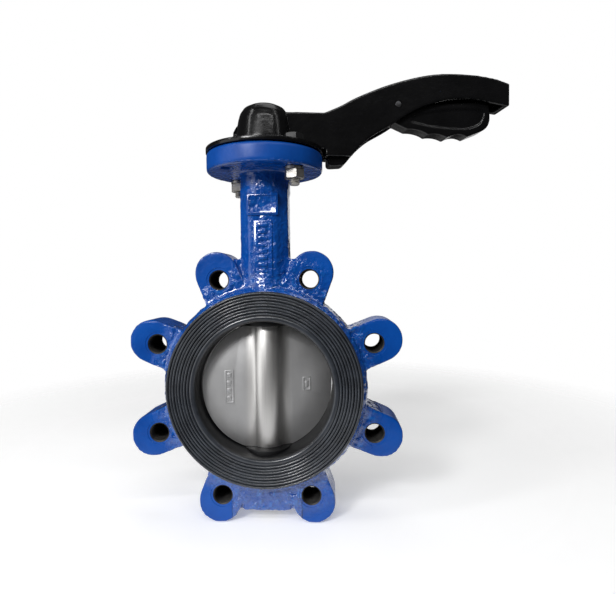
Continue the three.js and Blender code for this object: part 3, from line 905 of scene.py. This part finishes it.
def fastener_set():
    """A bolt down through the plate and flange, with its lock washer and nut, on the Z axis."""
    under = FLANGE_BOTTOM
    bolt = hexagon_block("bolt", ACROSS_FLATS, PLATE_TOP + 0.3, PLATE_TOP + 5.6)
    end = under - 13.5
    shank = [(0, end), (3.1, end), (3.9, end + 0.9), *thread(3.35, 3.95, end + 0.95, under - 0.5, 1.25),
             (3.95, under), (3.95, PLATE_TOP + 1), (0, PLATE_TOP + 1)]
    boolean(bolt, "UNION", turned("shank", shank, UP, 40, False))
    nut = hexagon_block("nut", ACROSS_FLATS, under - 8.8, under - 2.5)
    cut(nut, turned("nut_bore", [
        (0, under - 9), (5, under - 9), (4.25, under - 8),
        (4.25, under - 3.2), (5, under - 2.3), (0, under - 2.3),
    ], UP, 40, False))
    washer = turned("lock_washer", [
        (4.3, under - 2.2), (7, under - 2.2), (7, under - 0.3), (4.3, under - 0.3),
    ], UP, 64)
    gap = block("gap", (3, -0.5, under - 3), (9, 0.5, under + 1))
    lift = Matrix.Translation(UP * under * MM)
    gap.matrix_world = lift @ Matrix.Rotation(0.5, 4, "X") @ lift.inverted()
    cut(washer, settle(gap))
    return bolt, nut, washer


def make_fasteners():
    for side, turn in (("front", FRONT_BOLT), ("rear", REAR_BOLT)):
        for piece, kind in zip(fastener_set(), ("plate_bolt", "plate_nut", "lock_washer")):
            node = f"{kind}_{side}"
            piece.name = f"{node}_finished"
            soften(piece, 0.12, 1)
            shift(piece, x=BOLT_CIRCLE, turn=math.radians(turn))
            finish = PAINT["bolt"] if kind == "plate_bolt" else PAINT["zinc"]
            complete(piece, finish, "valve_body", "zinc_steel", node)


def make_bottom_plug():
    low, high = PLUG_BOTTOM, -89.7
    profile = [(0, low), (12.3, low), (13.1, low + 0.8), (13.1, high), (0, high)]
    plug = turned("hexagon_socket_plug", profile, UP, 72, False)
    cut(plug, rod("socket", 10 / math.sqrt(3), low - 1, -91.5, 6))
    soften(plug, 0.15, 1)
    return complete(plug, PAINT["zinc"], "valve_body", "zinc_steel", "bottom_plug")


# ---- Lever ----------------------------------------------------------------------------------------

# The handle's upper and lower edges, in X and Z with the valve shut.
LEVER_BACK = [(46, 211.5), (59, 217.3), (72, 224.3), (98, 235), (126, 242.8), (148, 245.4), (170, 245),
              (187, 242.8)]
LEVER_EDGE = [(67, 178.6), (74, 186.6), (84, 195), (98, 203), (116, 214.4), (131, 221), (148, 225.4),
              (164, 226.4), (178.5, 224.6)]
LEVER_HALF_WIDTH = 11.5
HOLLOW_HALF_WIDTH = 8.5


def lever_arm():
    floor = PLATE_TOP + 1
    edge = flowing(LEVER_EDGE)
    back = flowing(LEVER_BACK)[::-1]
    outline = [(8, floor), (46.5, floor), (46.5, 178.6), *edge, (198, 221.6), (198, 239.5), *back, (8, 211)]
    arm = slab("hand_lever", side_view(outline, -LEVER_HALF_WIDTH), ALONG * 2 * LEVER_HALF_WIDTH * MM)
    roof = [(x, z - 4) for x, z in flowing(LEVER_BACK)][::-1]
    hollow = [(38, 170), (194, 170), (194, 234.5), *roof, (38, 207)]
    return cut(arm, slab("hollow", side_view(hollow, -HOLLOW_HALF_WIDTH), ALONG * 2 * HOLLOW_HALF_WIDTH * MM))


def lever_hub():
    base = PLATE_TOP + 0.3
    dome = [(0, base), (22.9, base), (22.9, 190), (21.8, 197), (20.3, 206), (18.8, 211), (16, 215),
            (11, 217.6), (0, 218.2)]
    boss = [(0, base), (12.5, base), (12.5, 199), (10, 203.5), (6, 205.5), (0, 206)]
    return [turned("hub", dome, UP, 96, False), shift(turned("boss", boss, UP, 64, False), x=-12, y=7)]


def across_rod(name, radius, x, z, half, facets=40):
    """A cylinder lying along Y."""
    piece = rod(name, radius, -half, half, facets)
    return shift(shift(piece, turn=math.radians(90), about=ACROSS), x=x, z=z)


def make_lever():
    lever = cast(join(lever_arm(), *lever_hub()), 0.8, 4)
    thin_out(lever, 0.45)
    screw = shift(rod("screw_hole", 4, 4, 32, 40), turn=math.radians(-90), about=ALONG)
    cut(lever,
        shift(screw, z=198),
        block("square", (-5.8, -5.8, 170), (5.8, 5.8, 208)),
        across_rod("pin_hole", 2.8, *PIVOT, 14))
    shift(lever, turn=OPEN_ANGLE)
    return complete(lever, PAINT["black"], "stem_set", "black_epoxy", "lever", angle=40)


def make_pin_and_screw():
    pin = across_rod("pivot_pin", 2.5, *PIVOT, LEVER_HALF_WIDTH - 0.2)
    soften(pin, 0.4, 3)
    shift(pin, turn=OPEN_ANGLE)
    complete(pin, PAINT["dark_steel"], "stem_set", "spring_steel", "trigger_pin")
    screw = rod("set_screw", 3.7, 5.8, 18, 40)
    cut(screw, rod("socket", 4 / math.sqrt(3), 14, 20, 6))
    soften(screw, 0.2, 1)
    shift(screw, turn=math.radians(-90), about=ALONG)
    shift(screw, z=198, turn=OPEN_ANGLE)
    complete(screw, PAINT["dark_steel"], "stem_set", "spring_steel", "clamp_screw")


# ---- Trigger --------------------------------------------------------------------------------------


def trigger_outline():
    nose = [(49, 190), (49, 174.5), *bow((49, 174.5), (49.2, 172), (52, 171.9)), (60, 172.4),
            *bow((60, 172.4), (64, 173.4), (66.5, 180)), (80, 195), (94, 203.4), (102.5, 207)]
    grip = [(114, 202.2), *bow((114, 202.2), (124, 202.8), (131, 198.4)),
            *bow((131, 198.4), (139.5, 200.2), (147, 196.4)), *bow((147, 196.4), (156, 201.6), (164, 197.4)),
            (177, 202.6), *bow((177, 202.6), (183.6, 205.6), (183.6, 214)), (182.8, 222),
            *bow((182.8, 222), (182.4, 226), (178, 225.6))]
    top = [(140, 223), (112, 222), *arc(*PIVOT, 7, 17, 150, 12), (84, 211), (66, 196), (60, 192)]
    return nose, grip, top


def grip_panel(y):
    """The sunk field in each side of the finger grip."""
    outline = [(117, 208), (132, 205), (150, 203.5), (165, 204), (174, 207.5), (178, 213), (177, 219),
               (158, 219.5), (136, 217), (120, 213)]
    points = flowing([*outline, outline[0]], 4)[:-1]
    return slab("panel", side_view(points, y), ALONG * 2.4 * MM)


def make_trigger():
    nose, grip, top = trigger_outline()
    trigger = slab("finger_trigger", side_view([*nose, *grip, *top], -7), ALONG * 14 * MM)
    cut(trigger, grip_panel(-8.6), grip_panel(6.2))
    tooth = block("tooth", (46.3, -2, 177.6), (52, 2, 183.5))
    cast(join(trigger, tooth), 0.55, 4)
    thin_out(trigger, 0.45)
    cut(trigger, block("slot", (98, -3.6, 211), (124, 3.6, 241)), across_rod("eye", 2.8, *PIVOT, 14))
    shift(trigger, turn=OPEN_ANGLE)
    return complete(trigger, PAINT["black"], "squeeze_trigger", "black_epoxy", "trigger", angle=45)


def make_trigger_spring():
    """A torsion spring round the pin, one leg up to the lever's roof and one down on the trigger."""
    x, z = PIVOT
    path = [(x + 15, -2.6, z + 14)]
    for i in range(109):
        share = i / 108
        turn = math.pi / 2 + FULL_TURN * 4.5 * share
        path.append((x + 4.3 * math.cos(turn), 2.6 * (2 * share - 1), z + 4.3 * math.sin(turn)))
    path.append((x + 16, 2.6, z - 5.4))
    spring = drawn("torsion_spring", [Vector(p) * MM for p in path], False)
    pick(spring)
    bpy.ops.object.convert(target="CURVE")
    spring.data.bevel_depth, spring.data.bevel_resolution, spring.data.use_fill_caps = 0.5 * MM, 2, True
    bpy.ops.object.convert(target="MESH")
    shift(spring, turn=OPEN_ANGLE)
    return complete(spring, PAINT["dark_steel"], "stem_set", "spring_steel", "trigger_spring", angle=60)


# ---- The whole valve ------------------------------------------------------------------------------

make_camera()
make_studio()

PAINT = {
    "blue": blue_epoxy(),
    "black": black_epoxy(),
    "rubber": seat_rubber(),
    "seal": seal_rubber(),
    "disc": disc_steel(),
    "zinc": turned_steel("zinc_steel", (0.30, 0.29, 0.27), (0.52, 0.50, 0.47), 0.34),
    "bolt": bolt_steel(),
    "stainless": turned_steel("stem_steel", (0.45, 0.45, 0.45), (0.6, 0.6, 0.6), 0.2),
    "dark_steel": turned_steel("spring_steel", (0.05, 0.05, 0.055), (0.14, 0.14, 0.145), 0.3),
    "bearing": bearing_polymer(),
}

make_lug_body()
make_liner()
make_disc()
make_notch_plate()
make_fasteners()
make_bottom_plug()
make_lever()
make_pin_and_screw()
make_trigger()
make_trigger_spring()

# The inner pieces keep their CAD shapes.
for node, finish in {
    "neck_bush_lower": "bearing",
    "neck_bush_upper": "bearing",
    "bottom_bush": "bearing",
    "thrust_washer": "stainless",
    "stem_o_ring_1": "seal",
    "stem_o_ring_2": "seal",
    "plug_gasket": "seal",
    "retaining_ring": "dark_steel",
    "upper_stem": "stainless",
    "lower_stem": "stainless",
}.items():
    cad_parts[node].data.materials.clear()
    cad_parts[node].data.materials.append(PAINT[finish])
